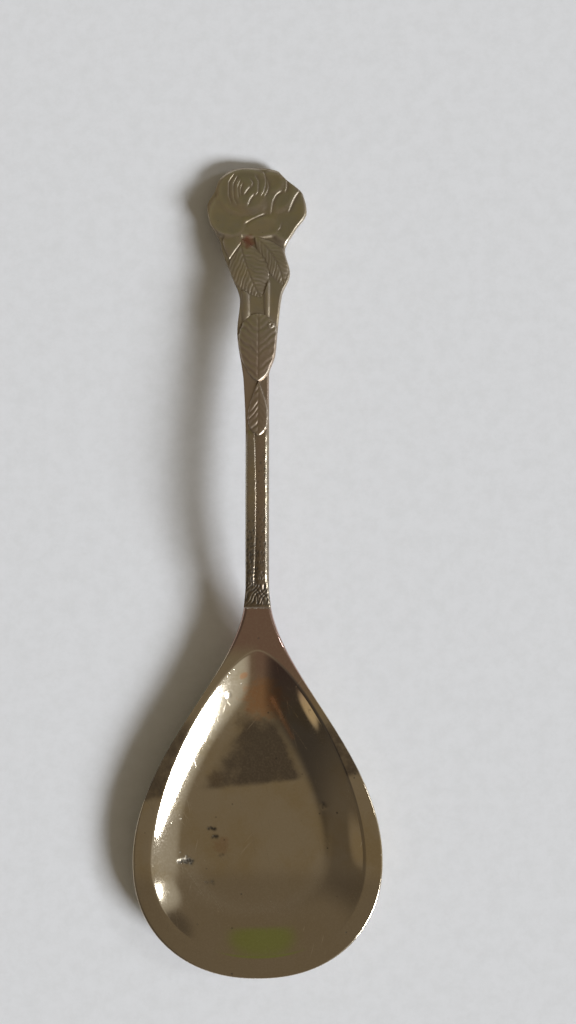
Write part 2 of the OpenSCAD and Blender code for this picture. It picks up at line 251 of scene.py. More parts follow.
# %% The bend of the wall and the crease at its top
BEND_PART, BEND_SOFT, WALL_POWER = 0.65, 0.1, 1.45
CREASE_R, CREASE_ZONE = 0.4, 0.6
middle = np.array([0, WELL_Y])
ring = well_edge[:well_rows]
ring_z = curve(RIM_Z, ring[:, 1])
spokes = ring - middle
reach = np.linalg.norm(spokes, axis=1)


def bend(q):
    return np.hypot(q - BEND_PART, BEND_SOFT) + q - BEND_PART


def climb(q):
    """How far the wall has risen, from 0 in the middle of the floor to 1 at the well's edge."""
    return ((bend(q) - bend(0)) / (bend(1) - bend(0))) ** WALL_POWER


ring_way = np.gradient(ring, axis=0)
ring_way[0], ring_way[-1] = (1, 0), (-1, 0)
ring_way /= np.linalg.norm(ring_way, axis=1)[:, None]
square = np.abs(spokes[:, 0] * ring_way[:, 1] - spokes[:, 1] * ring_way[:, 0])
edge_slope = (climb(1.0) - climb(0.999)) / 0.001 * (ring_z - FLOOR_T) / square


def from_ring(p):
    """Distances of a place p from all points of the well's edge."""
    return np.linalg.norm(p[..., None, :] - ring, axis=-1)


def crease_drop(p, side):
    """Drop below the sharp crease of a point p, on the rim (side -1) or in the well (side 1)."""
    apart = from_ring(p)
    nearest = apart.argmin(-1)
    off = np.abs(((p - ring[nearest]) * ring_way[nearest][..., ::-1] * [1, -1]).sum(-1))
    s = side * np.where(apart.min(-1) > 2 * CREASE_R, CREASE_R, off)
    soft = (np.clip(s, -CREASE_R, CREASE_R) + CREASE_R) ** 2 / (4 * CREASE_R)
    return edge_slope[nearest] * (soft - np.clip(s, 0, CREASE_R))


print("steepest wall:", round(float(np.degrees(np.arctan(edge_slope.max()))), 1), "degrees")

# %% Sections across the rim and down the well
RIM_ROUND = [(-40, 0.4), (-15, 0.55), (SEAM_Y, 0.65), (LAP_Y, 0.28)]
BACK_CREASE, BACK_CREASE_T = 0.8, 0.3
CREASE_STEPS = np.linspace(0, CREASE_ZONE, 9)
beside_well = (np.arange(len(outline)) < well_rows)[:, None]


def rim_grid(upper):
    run = well_edge - outline
    width = np.linalg.norm(run, axis=1)[:, None]
    r = curve(RIM_ROUND, outline[:, 1])[:, None]
    turn = 1 - np.cos(np.linspace(0, np.pi / 2, 8))[None, :]
    flat = r + (width - CREASE_ZONE - r) * np.linspace(0, 1, 16)[None, 1:]
    d = np.concatenate([r * turn, flat, width - CREASE_STEPS[None, -2::-1]], 1)
    p = outline[:, None] + run[:, None] * (d / width)[..., None]
    fall = edge_drop(d, r)
    z = curve(RIM_Z, p[..., 1])
    if upper:
        z = z - fall - crease_drop(p, -1)
    else:
        into = clamp((d - width + BACK_CREASE) / BACK_CREASE) * beside_well
        z = z - curve(SHEET_T, p[..., 1]) + fall - BACK_CREASE_T * into**2
    return np.concatenate([p, z[..., None]], -1)


def well_grid(upper, columns):
    zone = 1 - CREASE_STEPS[None, :] / reach[:, None]
    q = np.concatenate([zone, zone[:, -1:] * np.linspace(1, 0, columns)[None, 1:]], 1)
    p = middle + spokes[:, None] * q[..., None]
    top = ring_z[:, None]
    if upper:
        z = FLOOR_T + (top - FLOOR_T) * climb(q) - crease_drop(p, 1)
    else:
        z = (top - curve(SHEET_T, ring[:, 1])[:, None] - BACK_CREASE_T) * climb(q)
    return np.concatenate([p, z[..., None]], -1)


print("rows round the well:", well_rows, "of", len(outline))

# %% [markdown]
# ## Pits in the floor of the bowl
# Damp sugar eats small holes in the plate. The largest group lies at the left of the floor, with a
# few single pits above it. Holes of half a millimetre are too large for a bump map, because their
# rims catch the light, so they are sunk into the mesh. Each hole is a small bell curve, and a
# seeded random draw scatters the holes of a group in the same way each time.

# %% Pits of the bowl
# middle x and y, spread, number of holes and greatest depth of each group
PIT_GROUPS = [
    (-12.4, -50.7, 0.9, 22, 0.16), (-8.1, -45.3, 0.3, 5, 0.12), (-7.4, -46.7, 0.35, 5, 0.1),
    (-5.2, -21.9, 0.25, 3, 0.07), (-11.2, -28.8, 0.9, 6, 0.03), (4.4, -25.5, 0.7, 5, 0.03),
    (11.4, -41.4, 0.5, 5, 0.05), (-8.3, -54.6, 0.5, 4, 0.04), (-6.2, -49.6, 0.5, 3, 0.03),
]
# sizes of the holes, and how a group is drawn out along x and y
PIT_SIZES, GROUP_STRETCH = (0.16, 0.34), (1.25, 0.8)
draw = np.random.default_rng(7)
pits = []
for x, y, spread, count, depth in PIT_GROUPS:
    for _ in range(count):
        dx, dy = draw.normal(0, spread * 0.6, 2) * GROUP_STRETCH
        size = draw.uniform(*PIT_SIZES)
        pits.append((x + dx, y + dy, size, depth * draw.uniform(0.4, 1)))


def pit_depth(x, y):
    depth = np.zeros_like(x)
    for px, py, size, deep in pits:
        near = (x - px) ** 2 + (y - py) ** 2
        depth = np.maximum(depth, deep * np.exp(-near / size**2))
    return depth


print(len(pits), "pits, the deepest", round(max(p[3] for p in pits), 3), "mm")

# %% [markdown]
# ## Wear, residue and painted light in the bowl
# A painted highlight lies along the crease round the arch, and the tip is scoured where it scrapes
# through the sugar. A run of amber residue came down from the arch, and a dark reflection is painted
# on the upper floor and beside it on the rim. None of these has a height, so each is a mask that
# goes from 0 to 1 and is worked out from the place alone.

# %% Masks of wear and films
GLINT_W, GLINT_Y, GLINT_FADE = 0.16, -40, 15
SCOUR_OFF, SCOUR_W, SCOUR_Y, SCOUR_FADE = 7.2, 1.9, -46, 8
STREAK_TOP, STREAK_RUN = np.array([2.5, -22.8]), np.array([3.5, -6.8])
STREAK_W, STREAK_TAPER = 0.7, 0.3
# Painted reflection: a dark wedge on the upper floor and a band on the rim beside it stand in for the
# dark room they mirror.
REFLECTION_TOP, REFLECTION_LENGTH, REFLECTION_UPPER, REFLECTION_LOWER, LOWER_SLANT = -26, 11.6, -26.5, -37.6, 0.12
# half width at the top, how much it grows over the length, and softness of either side
REFLECTION_LEFT, REFLECTION_RIGHT = (1.8, 7.2, 5), (2.4, 5.6, 3.2)
LOWER_SOFT, UPPER_SOFT = 1.8, 6
RIM_REFLECTION = 0.75


# Painted highlight: a pale line along the crease round the arch.
def crease_highlight(p):
    """1 along the crease round the arch, fading to the sides."""
    apart = from_ring(p).min(-1)
    return np.exp(-((apart / GLINT_W) ** 2)) * smooth((p[..., 1] - GLINT_Y) / GLINT_FADE)


def scouring(p):
    """1 along the bend of the tip."""
    apart = from_ring(p).min(-1)
    on_bend = np.exp(-(((apart - SCOUR_OFF) / SCOUR_W) ** 2))
    return on_bend * smooth((SCOUR_Y - p[..., 1]) / SCOUR_FADE)


def amber_streak(p):
    """1 along the run of residue, which gets thinner and weaker downwards."""
    t = clamp(((p - STREAK_TOP) @ STREAK_RUN) / (STREAK_RUN @ STREAK_RUN))
    apart = np.linalg.norm(p - STREAK_TOP - t[..., None] * STREAK_RUN, axis=-1)
    return np.exp(-((apart / (STREAK_W - STREAK_TAPER * t)) ** 2)) * (0.9 - 0.4 * t)


def within(d, soft):
    """0 outside a border, 1 inside; d is the distance inside and soft the width of the change."""
    return smooth(d / soft + 0.5)


def painted_dark_reflection(p, on_rim):
    """1 in the wedge of painted dark reflection, which widens downwards and ends in a slanting edge.
    """
    x, y = p[..., 0], p[..., 1]
    t = (REFLECTION_TOP - y) / REFLECTION_LENGTH
    sides = 1
    for out, (start, growth, soft) in ((-x, REFLECTION_LEFT), (x, REFLECTION_RIGHT)):
        sides = sides * within(start + growth * t - out, soft)
    lower = within(y - REFLECTION_LOWER - LOWER_SLANT * x, LOWER_SOFT)
    ends = lower * within(REFLECTION_UPPER - y, UPPER_SOFT)
    darker_right = 0.75 + 0.25 * smooth((x + 5) / 4)
    return RIM_REFLECTION * ends if on_rim else sides * ends * darker_right


print("amber run:", round(float(np.hypot(*STREAK_RUN)), 1), "mm long")

# %% [markdown]
# ## The bowl
# Six grids make the right half: rim and well above, rim and well below, the outer edge and the
# end of the tang that lies under the handle. The left half is their mirror image. The pits are
# sunk after the mirroring, because damage isn't symmetric. Their depth and the masks of wear,
# residue and painted light are kept as values on the mesh, where the finish finds them later.

# %% Build the bowl
rim_top, rim_back = rim_grid(True), rim_grid(False)
half = [
    rim_top,
    rim_back,
    well_grid(True, 100),
    well_grid(False, 40),
    np.stack([rim_top[:, 0], rim_back[:, 0]], 1),
    np.stack([rim_top[-1], rim_back[-1]], 0),
]
RIM_TOP, WELL_TOP = 0, 2
# depth at which a pit counts as fully dark
PIT_DARK = 0.06
bowl_grids = half + [mirrored(g) for g in half]
fields = {name: [] for name in ("pitted", "crease_glint", "scoured", "streak", "dark_reflection")}
for k, g in enumerate(bowl_grids):
    kind = k % len(half)
    p = g[..., :2]
    right = np.abs(p) * [1, -1]
    if kind in (RIM_TOP, WELL_TOP):
        sunk = pit_depth(p[..., 0], p[..., 1])
        g[..., 2] -= sunk
        masks = (clamp(sunk / PIT_DARK), crease_highlight(right), scouring(right), amber_streak(p),
                 painted_dark_reflection(p, kind == RIM_TOP))
    else:
        masks = np.zeros((len(fields), *g.shape[:2]))
    for values, mask in zip(fields.values(), masks):
        values.append(mask)
bowl = sewn("spoon_bowl", bowl_grids, fields)
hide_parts("bowl")
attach(bowl, "root")

# %% [markdown]
# ## The stem
# The handle is a flat bar whose upper face was struck in a die, so all of its ornament is one
# height over the face at each place. That makes it a height field: a function of x and y. The stem
# has a flat strand at the left and a lower, rounded one at the right, with a small step between
# them and a worn bevel along the right edge. Old dies wander a little, so the step is slightly
# bowed and uneven.

# %% Height of the stem's strands
HEAD_Y, TOP_Y = 69, 70
STEM_T, HEAD_T, FOOT_T = 1.85, 1.25, 0.5
STRAND_H = 0.45
# middle, half width, part of the height and flatness of each strand
STRANDS = [(-0.97, 0.88, 1.0, 6), (0.7, 1.5, 0.89, 2)]
BEVEL_X, BEVEL_SLOPE = 1.4, 0.4


def dome(x, middle, half, flatness=2):
    return np.sqrt(np.maximum(0, 1 - np.abs((x - middle) / half) ** flatness))


def wander(y):
    return -0.002 * (y - 11) ** 2 + 0.015 * np.sin(1.3 * y + 0.4) + 0.01 * np.sin(3.1 * y + 1.7)


def stem_height(x, y):
    inner = x - wander(y) * smooth((1.6 - np.abs(x)) / 1.2)
    top = np.maximum.reduce([part * dome(inner, m, h, flat) for m, h, part, flat in STRANDS])
    uneven = 0.06 * np.sin(2.7 * y) * np.sin(1.1 * y + 0.5)
    bevel = BEVEL_SLOPE * np.maximum(0, x - BEVEL_X - uneven)
    along = smooth((y + 4) / 3)
    height = STRAND_H * (top * along + 0.35 * (1 - along)) - bevel * along
    return smooth((25 - y) / 3) * height


print("stem crest:", round(float(stem_height(np.array([-1.15]), np.array([15.0]))[0]), 2), "mm")

# %% [markdown]
# ## The foot of the handle
# Just above the seam the die has a small pad with crossing cuts, worn down and full of dirt, and
# the stem above it is pitted where the plate has gone. The cuts are two families of slanting V
# grooves of uneven depth. The pits are small bell curves again, thickest at the left strand. The
# depth of both is kept for the finish, which darkens them.

# %% Cuts and pits near the foot
def wedge(phase, half):
    """1 in the middle of each step of the phase, falling to 0 at a distance half."""
    return np.maximum(0, 1 - np.abs(phase - np.floor(phase) - 0.5) / half)


PAD_TOP, CUT_D = -2.6, 0.06
# number of pits at each strand, mean and spread of x, limits and peak of y, sizes and depths
STRAND_PITS = [
    (170, (-0.9, 0.55), (-4, -3, 9), (0.1, 0.24), (0.02, 0.06)),
    (90, (1.1, 0.5), (-4, -2, 21), (0.08, 0.18), (0.02, 0.05)),
]
stem_pits = [
    (draw.normal(*x), draw.triangular(*y), draw.uniform(*sizes), draw.uniform(*depths))
    for count, x, y, sizes, depths in STRAND_PITS
    for _ in range(count)
]


def foot_cuts(x, y):
    pad = smooth((PAD_TOP - y) / 0.5) * smooth((y - SEAM_Y - 0.3) / 0.2)
    uneven = 0.75 + 0.25 * np.sin(2.9 * x + 1.7 * y) * np.sin(2.1 * y - 1.3 * x)
    bent = 0.16 * np.sin(2.3 * y + 0.8 * x) + 0.1 * np.sin(3.7 * x - 1.9 * y)
    one = wedge((x * 0.8 - y * 0.6 + bent) / 0.62, 0.36)
    other = wedge((x * 0.9 + y * 0.45 - bent) / 0.7, 0.3) * smooth((x + 0.6) / 0.6)
    return pad * uneven * (CUT_D * one + CUT_D * other)


def stem_pit_depth(x, y):
    depth = np.zeros_like(x)
    for px, py, size, deep in stem_pits:
        near = np.abs(y[:, 0] - py) < 3 * size
        d2 = (x[near] - px) ** 2 + (y[near] - py) ** 2
        depth[near] = np.maximum(depth[near], deep * np.exp(-d2 / size**2))
    return depth


print(len(stem_pits), "pits along the stem")

# %% [markdown]
# ## The leaves
# Each leaf is a low pillow, pointed at both ends, with a groove along its middle and slanting
# veins that lean towards its tip. A leaf is described in its own directions: how far along its
# middle line a place lies, and how far off it. The veins are then lines along which the first
# grows with the second, cut as narrow grooves.

# %% Height of a leaf
LEAF_H = 0.6
LEAF_EDGE, RIB_W, VEIN_HALF = 0.24, 0.18, 0.46
# base x and y, tip x and y, width at either side, bend, fullest part, pointedness, depth of the
# rib, vein pitch, lean of the veins at either side, their depth at either side, teeth of the edge,
# and how far the tip sinks into the ground
LEAVES = [
    (-0.6, 57.2, 4.4, 48.2, 2.3, 2.3, 1.1, 0.5, 0.8, 0.08, 0.92, 1.06, 1.44, 0.03, 0.035, 0.03, 0.3),
    (-3.2, 57.0, 0.5, 46.1, 3.7, 3.2, -0.5, 0.52, 0.8, 0.08, 0.9, 0.73, 1.23, 0.035, 0.035, 0.03, 0.3),
    (-3.7, 58.6, -5.0, 53.0, 1.5, 2.0, 0, 0.35, 0.9, 0.0, 1.5, 1.0, 1.0, 0.0, 0.0, 0.0, 0.2),
    (0.1, 31.7, 0.1, 43.4, 3.5, 3.6, 0, 0.6, 0.4, 0.07, 1.3, 0.78, 0.85, 0.05, 0.025, 0.03, 0.1),
    (0.2, 32.0, 0.13, 22.4, 1.85, 1.9, 0, 0.68, 0.5, 0.06, 1.15, 1.1, 1.2, 0.025, 0.07, 0.04, 0.0),
]


def leaf_part(leaf, x, y):
    """Mask and height of one leaf."""
    bx, by, tx, ty, left, right, bend, fullest, pointed = leaf[:9]
    rib_d, pitch, lean_l, lean_r, vein_l, vein_r, teeth, sink = leaf[9:]
    length = np.hypot(tx - bx, ty - by)
    ux, uy = (tx - bx) / length, (ty - by) / length
    along = ((x - bx) * ux + (y - by) * uy) / length
    a = clamp(along)
    off = (y - by) * ux - (x - bx) * uy - bend * 4 * a * (1 - a)
    half = np.where(off > 0, left, right)
    half = half * np.maximum(0, np.sin(np.pi * a ** (np.log(0.5) / np.log(fullest)))) ** pointed
    sway = 0.12 * np.sin(2.1 * off + 1.3 * a * length) + 0.08 * np.sin(3.3 * off - 0.9 * a * length)
    slant = (a * length - np.where(off > 0, lean_l, lean_r) * np.abs(off) + sway) / pitch
    half = half * (1 - teeth * (0.5 - 0.5 * np.cos(2 * np.pi * slant)))
    across = np.where(half > 0.01, np.abs(off) / np.maximum(half, 0.01), 1)
    inside = (along > 0) & (along < 1) & (across < 1)
    rim = (1 - across) * half
    uneven = 0.75 + 0.35 * np.sin(2.4 * np.floor(slant) + 5 * off / length)
    vein_d = np.where(off > 0, vein_l, vein_r) * uneven
    veins = vein_d * smooth(wedge(slant, VEIN_HALF)) * smooth(rim / 0.5)
    veins = veins * smooth(np.abs(off) / 0.25)
    swell = 0.35 * vein_d * np.cos(2 * np.pi * slant) * smooth(rim / 0.5)
    pillow = LEAF_H * (0.55 + 0.45 * np.sqrt(1 - np.minimum(across, 1) ** 2))
    rib = rib_d * np.exp(-((off / RIB_W) ** 2))
    height = pillow - rib - veins + swell - sink * smooth((a - 0.6) / 0.4)
    return np.where(inside, smooth(rim / LEAF_EDGE), 0), height


longest = max(np.hypot(l[2] - l[0], l[3] - l[1]) for l in LEAVES)
print(len(LEAVES), "leaves, the longest", round(longest, 1), "mm")

# %% [markdown]
# ## The rose
# The rose is a heap of petals. Each is a shallow dish with a soft edge and lies over the ones
# before it, up to the round bud. Laying one over another is the painter's way: where a petal's mask
# is 1, its height takes the place of what was there.

# %% Height of a petal
PETAL_H, PETAL_RISE = 0.8, 0.1
FULL_PETAL = 2.5
# middle x and y, half width, half height, turn, layer, free side, lean to that side,
# depth of the dish, softness of the edge; the first is the bed of the rose and the last its bud
PETALS = [
    (0.0, 63.4, 10.0, 6.6, 0, -2.4, 0, 0.0, 0.0, 0.6),
    (5.2, 61.2, 3.4, 5.8, -8, -0.6, 0, 0.15, 0.15, 0.8),
    (-5.3, 61.2, 3.8, 4.4, 0, -0.4, 190, 0.15, 0.15, 0.8),
    (-2.3, 65.5, 5.4, 4.8, 0, -0.3, 130, 0.15, 0.1, 1.0),
    (4.1, 64.85, 2.6, 4.0, -30, 0.2, 20, 0.12, 0.15, 1.0),
    (2.2, 67.2, 2.65, 2.3, 0, 0.5, 30, 0.12, 0.15, 0.8),
    (-3.9, 58.7, 1.7, 1.4, 20, -1.8, 230, 0.05, 0.03, 0.8),
    (0.55, 59.0, 3.4, 2.2, 14, -1.9, 95, 0.22, 0.05, 0.9),
    (-1.7, 65.0, 4.7, 3.9, -41, -0.2, 130, 0.05, -0.1, 1.8),
]


def petal_part(petal, x, y):
    """Mask and height of one petal."""
    mx, my, hw, hh, turn, layer, free, lean, dish, soft = petal
    turn, free = np.radians(turn), np.radians(free)
    dx, dy = x - mx, y - my
    u = (dx * np.cos(turn) + dy * np.sin(turn)) / hw
    v = (dy * np.cos(turn) - dx * np.sin(turn)) / hh
    q = np.hypot(u, v)
    share = min(1, hh / FULL_PETAL)
    out = (dx * np.cos(free) + dy * np.sin(free)) / max(hw, hh)
    height = PETAL_H + PETAL_RISE * layer + share * (lean * out - dish * (1 - q**3))
    return np.where(q < 1, smooth((1 - q) * min(hw, hh) / soft), 0), height


print(len(PETALS), "petals in the rose")

# %% [markdown]
# ## The lips of the petals
# What shows of each petal is one curved lip. Dishes inside dishes would give rings, which a rose
# doesn't have, so each lip is drawn as a line of its own, like the cut of a graver. Across such a
# line the surface rises slowly to the lip, drops at its free side, and climbs out of a narrow
# shadow. The nearest point of the line gives the distance and the side.

# %% Lines of the lips
# height of the lip, depth of the shadow, width of the drop, and points along the lip;
# its free side lies to the left of the way from the first point to the last
FOLDS = [
    (0.06, 0.11, 0.18, [(-4.25, 68.7), (-5.2, 66.8), (-5.2, 65.0), (-4.7, 63.3)]),
    (0.07, 0.12, 0.18, [(-3.7, 68.3), (-4.4, 66.45), (-4.3, 64.4), (-3.65, 62.95)]),
    (0.07, 0.12, 0.18, [(-3.1, 67.55), (-3.6, 66.1), (-3.4, 64.2)]),
    (0.07, 0.12, 0.18, [(-2.75, 67.0), (-3.1, 65.8), (-3.0, 64.6)]),
    (0.11, 0.12, 0.28, [(-1.4, 66.35), (-2.05, 65.5), (-2.45, 64.75)]),
    (0.12, 0.13, 0.30, [(-0.7, 64.95), (-1.35, 64.05), (-1.85, 62.75)]),
    (0.08, 0.10, 0.16, [(-1.45, 67.75), (-1.0, 67.0), (-1.2, 66.25)]),
    (0.08, 0.10, 0.22, [(-0.65, 68.4), (0.0, 67.2), (-0.05, 65.5), (-0.45, 64.6)]),
    (0.10, 0.11, 0.24, [(0.9, 69.15), (1.3, 67.3), (1.05, 65.7), (0.5, 64.5)]),
    (0.08, 0.10, 0.16, [(1.6, 67.4), (1.75, 66.25), (1.1, 64.4)]),
    (0.11, 0.12, 0.18, [(4.4, 68.4), (4.9, 67.45), (4.95, 66.45), (4.7, 65.25)]),
    (0.12, 0.13, 0.32, [(4.15, 65.6), (3.1, 64.8), (2.5, 63.4), (2.2, 61.3)]),
    (0.12, 0.13, 0.32, [(7.3, 65.7), (6.4, 64.4), (5.25, 61.65)]),
    (0.16, 0.13, 0.42, [(1.2, 61.4), (0.0, 60.9), (-1.2, 60.3), (-2.35, 59.55)]),
    (0.07, 0.06, 0.25, [(3.9, 59.55), (3.85, 58.9), (3.3, 58.2)]),
    (0.06, 0.06, 0.24, [(-2.5, 56.65), (-3.8, 54.9), (-4.9, 53.15)]),
]
FOLD_REACH = 1.3
print(len(FOLDS), "lips drawn over the rose")

# %% Height of a fold
POINT_STEP, RISE_W, SHADOW_W = 0.05, 0.45, 0.3


def fold_height(fold, x, y):
    lip, shadow, width, points = fold
    px, py = np.array(points, float).T
    s = np.concatenate([[0], np.cumsum(np.hypot(np.diff(px), np.diff(py)))])
    way = np.linspace(0, s[-1], max(8, int(s[-1] / POINT_STEP)))
    cx, cy = curve(list(zip(s, px)), way), curve(list(zip(s, py)), way)
    tx, ty = np.gradient(cx), np.gradient(cy)
    tx, ty = tx / np.hypot(tx, ty), ty / np.hypot(tx, ty)
    near = (np.abs(x - (cx.min() + cx.max()) / 2) < np.ptp(cx) / 2 + FOLD_REACH) & (
        np.abs(y - (cy.min() + cy.max()) / 2) < np.ptp(cy) / 2 + FOLD_REACH)
    i = ((x[near][:, None] - cx) ** 2 + (y[near][:, None] - cy) ** 2).argmin(1)
    dx, dy = x[near] - cx[i], y[near] - cy[i]
    d = dy * tx[i] - dx * ty[i]
    done = way[i] + dx * tx[i] + dy * ty[i]
    from_end = np.minimum(done, s[-1] - done)
    fade_out = smooth((from_end + 0.3) / 0.8) * smooth((FOLD_REACH - np.abs(d)) / 0.6)
    drop = smooth(d / width + 0.5)
    rise = lip * np.exp(np.minimum(d, 0) / RISE_W) * (1 - drop)
    height = np.zeros_like(x)
    height[near] = (rise - shadow * np.exp(-np.maximum(d, 0) / SHADOW_W) * drop) * fade_out
    return height


lip_peak = max(lip for lip, *_ in FOLDS)
print("the highest lip rises", lip_peak, "mm")

# %% [markdown]
# ## Stalks, curls and the whole relief
# Two short stalks run from the lower leaves up to the rose, and two small curls sit at the top of
# the upper leaf. With these the whole relief is one function: strands, stalks and the bed between
# them first, then the leaves, then the petals, and last the curls and the lips.

# %% The whole relief
# lower x and y, upper x and y, and half width of each stalk
STALKS = [(-1.9, 40.0, -2.2, 48.5, 0.85), (1.6, 40.2, 1.6, 50.5, 0.6)]
# middle x and y, radius and height of each curl
CURLS = [(-2.8, 41.5, 0.34, 0.05), (2.3, 41.4, 0.36, 0.11)]
BED_H = 0.28


def stalk_height(stalk, x, y):
    lx, ly, ux, uy, half = stalk
    t = clamp((y - ly) / (uy - ly))
    return 0.9 * LEAF_H * dome(x, lx + (ux - lx) * t, half) * smooth(2.2 * t) * smooth(6 * (1 - t))


def curl_height(curl, x, y):
    cx, cy, radius, height = curl
    d = np.hypot(x - cx, y - cy)
    return height * (np.exp(-(((d - radius) / 0.17) ** 2)) - 0.5 * np.exp(-((d / 0.22) ** 2)))


def relief(x, y):
    z = stem_height(x, y) - foot_cuts(x, y) - stem_pit_depth(x, y)
    for stalk in STALKS:
        z = np.maximum(z, stalk_height(stalk, x, y))
    # the bed fills the ground under the rose, and the left side of the lower leaf
    beside = smooth((y - 20.5) / 3) * smooth((38 - y) / 4) * smooth((0.3 - x) / 0.6)
    z = np.maximum(z, BED_H * np.maximum(smooth((y - 40) / 4), beside))
    parts = [leaf_part(l, x, y) for l in LEAVES] + [petal_part(p, x, y) for p in PETALS]
    for mask, height in parts:
        z = z + (height - z) * mask
    return z + sum(curl_height(c, x, y) for c in CURLS) + sum(fold_height(f, x, y) for f in FOLDS)


bud = [np.full((1, 1), v) for v in PETALS[-1][:2]]
print("the bud stands", round(float(relief(*bud)[0, 0]), 2), "mm above the face")

# %% [markdown]
# ## The face and the back of the handle
# The handle's outline follows the leaves and petals, so its two edges are curves with a crest or a
# notch at each of them. The face is a grid between the edges: rows a tenth of a millimetre apart
# where the ornament is fine, and columns that crowd together at the rounded edges. The back is
# plain, so it needs far fewer columns. Where the handle lies on the tang it is thinner, and there
# its back steps up.

# %% Edges and heights of the handle
LEFT_R, RIGHT_R, END_R, BACK_R = 0.18, 0.42, 0.2, 0.3
LEFT_X = [
    (SEAM_Y, -NECK_W / 2), (-3, -STEM_W / 2), (22, -STEM_W / 2), (31.5, -2.35), (40.4, -3.5),
    (45.6, -3.05), (51, -4.85), (54.8, -6.25), (56.2, -6.5), (60, -8.45), (62.6, -8.9),
    (65.7, -7.5), (67.4, -6.95), (HEAD_Y, -5.5),
]
RIGHT_X = [
    (SEAM_Y, NECK_W / 2), (-3, STEM_W / 2), (22, STEM_W / 2), (32.8, 1.95), (36.2, 3),
    (39, 3.3), (42.3, 3.6), (46.7, 4.15), (50.7, 5.55), (54.8, 4.68), (58.4, 6.4),
    (61.8, 8.45), (65, 7.8), (67.6, 4.95), (HEAD_Y, 3.7),
]
FACE_Z = [
    (SEAM_Y, curve(RIM_Z, SEAM_Y) + SOLDER_T + FOOT_T),
    (LAP_Y, curve(RIM_Z, LAP_Y) + STEM_T - TANG_T),
    (9, RIM_H + 4.15), (20, RIM_H + 3.7), (32, RIM_H + 2.6), (45, 5.6), (57, 3.6), (TOP_Y, HEAD_T),
]
BODY_T = [
    (LAP_Y, STEM_T), (20, STEM_T), (45, (STEM_T + HEAD_T) / 2), (57, HEAD_T), (TOP_Y, HEAD_T),
]
print("handle up to", max(x for _, x in RIGHT_X) - min(x for _, x in LEFT_X), "mm wide")

# %% Rows and columns of the handle
FACE_COLUMNS, BACK_COLUMNS = 172, 26
PITTED_Y, LEAF_Y, HEAD_ARCH_Y = 8, 22, 63
turn = 1 - np.cos(np.linspace(0, np.pi / 2, 7))
rows = np.unique(np.concatenate([
    SEAM_Y + END_R * turn,
    np.linspace(SEAM_Y + END_R, LAP_Y, 94),
    np.linspace(LAP_Y + 0.05, PITTED_Y, 52),
    np.linspace(PITTED_Y, LEAF_Y, 64),
    np.linspace(LEAF_Y, HEAD_Y - END_R, 466),
    HEAD_Y - END_R * turn,
]).round(6))


def across(count):
    """x and y of a grid over the handle's outline, and how far its edges round it down."""
    left, right = curve(LEFT_X, rows)[:, None], curve(RIGHT_X, rows)[:, None]
    inner = np.linspace(0, 1, count - 2 * len(turn) + 2)[None, 1:-1]
    x = np.concatenate([
        left + LEFT_R * turn,
        left + LEFT_R + (right - left - LEFT_R - RIGHT_R) * inner,
        right - RIGHT_R * turn[::-1],
    ], 1)
    t = (2 * x - left - right) / (right - left)
    near_end = smooth((rows - HEAD_ARCH_Y) / (HEAD_Y - HEAD_ARCH_Y))[:, None]
    arch = near_end * np.maximum(0, 1 - t * t) ** 0.6
    y = rows[:, None] + (TOP_Y - HEAD_Y) * arch
    return x, y, edge_drop(x - left, LEFT_R) + edge_drop(right - x, RIGHT_R)


print(len(rows), "rows along the handle,", FACE_COLUMNS, "columns over its face")

# %% [markdown]
# ## Recesses and crests
# Tarnish stays in the recesses of a struck handle, and polishing wears its crests bright. Both can
# be read from the relief itself: a place that lies below the average of its surroundings is a
# recess, one above it a crest. The average is a few passes of a moving mean over the grid. Painted
# shade along the left side and both ends of the handle is added to the recess mask. Both are kept
# on the mesh with the pitting, and the finish uses them later.

# %% The face, with its recesses and crests
MEAN_CELLS = 5
# depths at which a recess, a crest, a pit and a cut count in full
FULL_RECESS, FULL_CREST, FULL_PIT, FULL_CUT = 0.08, 0.1, 0.04, 0.05


def softened(field, cells):
    """Two moving means along each way of the grid."""
    for axis in (0, 1, 0, 1):
        ends = [(0, 0), (0, 0)]
        ends[axis] = (cells + 1, cells)
        total = np.cumsum(np.pad(field, ends, mode="edge"), axis)
        size = 2 * cells + 1
        field = (np.take(total, range(size, total.shape[axis]), axis)
                 - np.take(total, range(total.shape[axis] - size), axis)) / size
    return field


x, y, side_drop = across(FACE_COLUMNS)
end_drop = edge_drop(np.minimum(rows - SEAM_Y, HEAD_Y - rows), END_R)[:, None]
ornament = relief(x, y)
face_z = curve(FACE_Z, y) + ornament - np.maximum(side_drop, end_drop)
face = np.stack([x, y, face_z], -1)
hollow = softened(ornament, MEAN_CELLS) - ornament
# Painted shade: the rounding of the left side and of both ends darkens like a recess.
painted_edge_shade = np.maximum(np.where(x < 0, side_drop, 0), end_drop) / FULL_RECESS
tarnish_and_edge_shade, crest = clamp(hollow / FULL_RECESS + painted_edge_shade), clamp(-hollow / FULL_CREST)
pitted = clamp(stem_pit_depth(x, y) / FULL_PIT + foot_cuts(x, y) / FULL_CUT)
print("recessed part of the face:", round(float((tarnish_and_edge_shade > 0.5).mean()), 3))

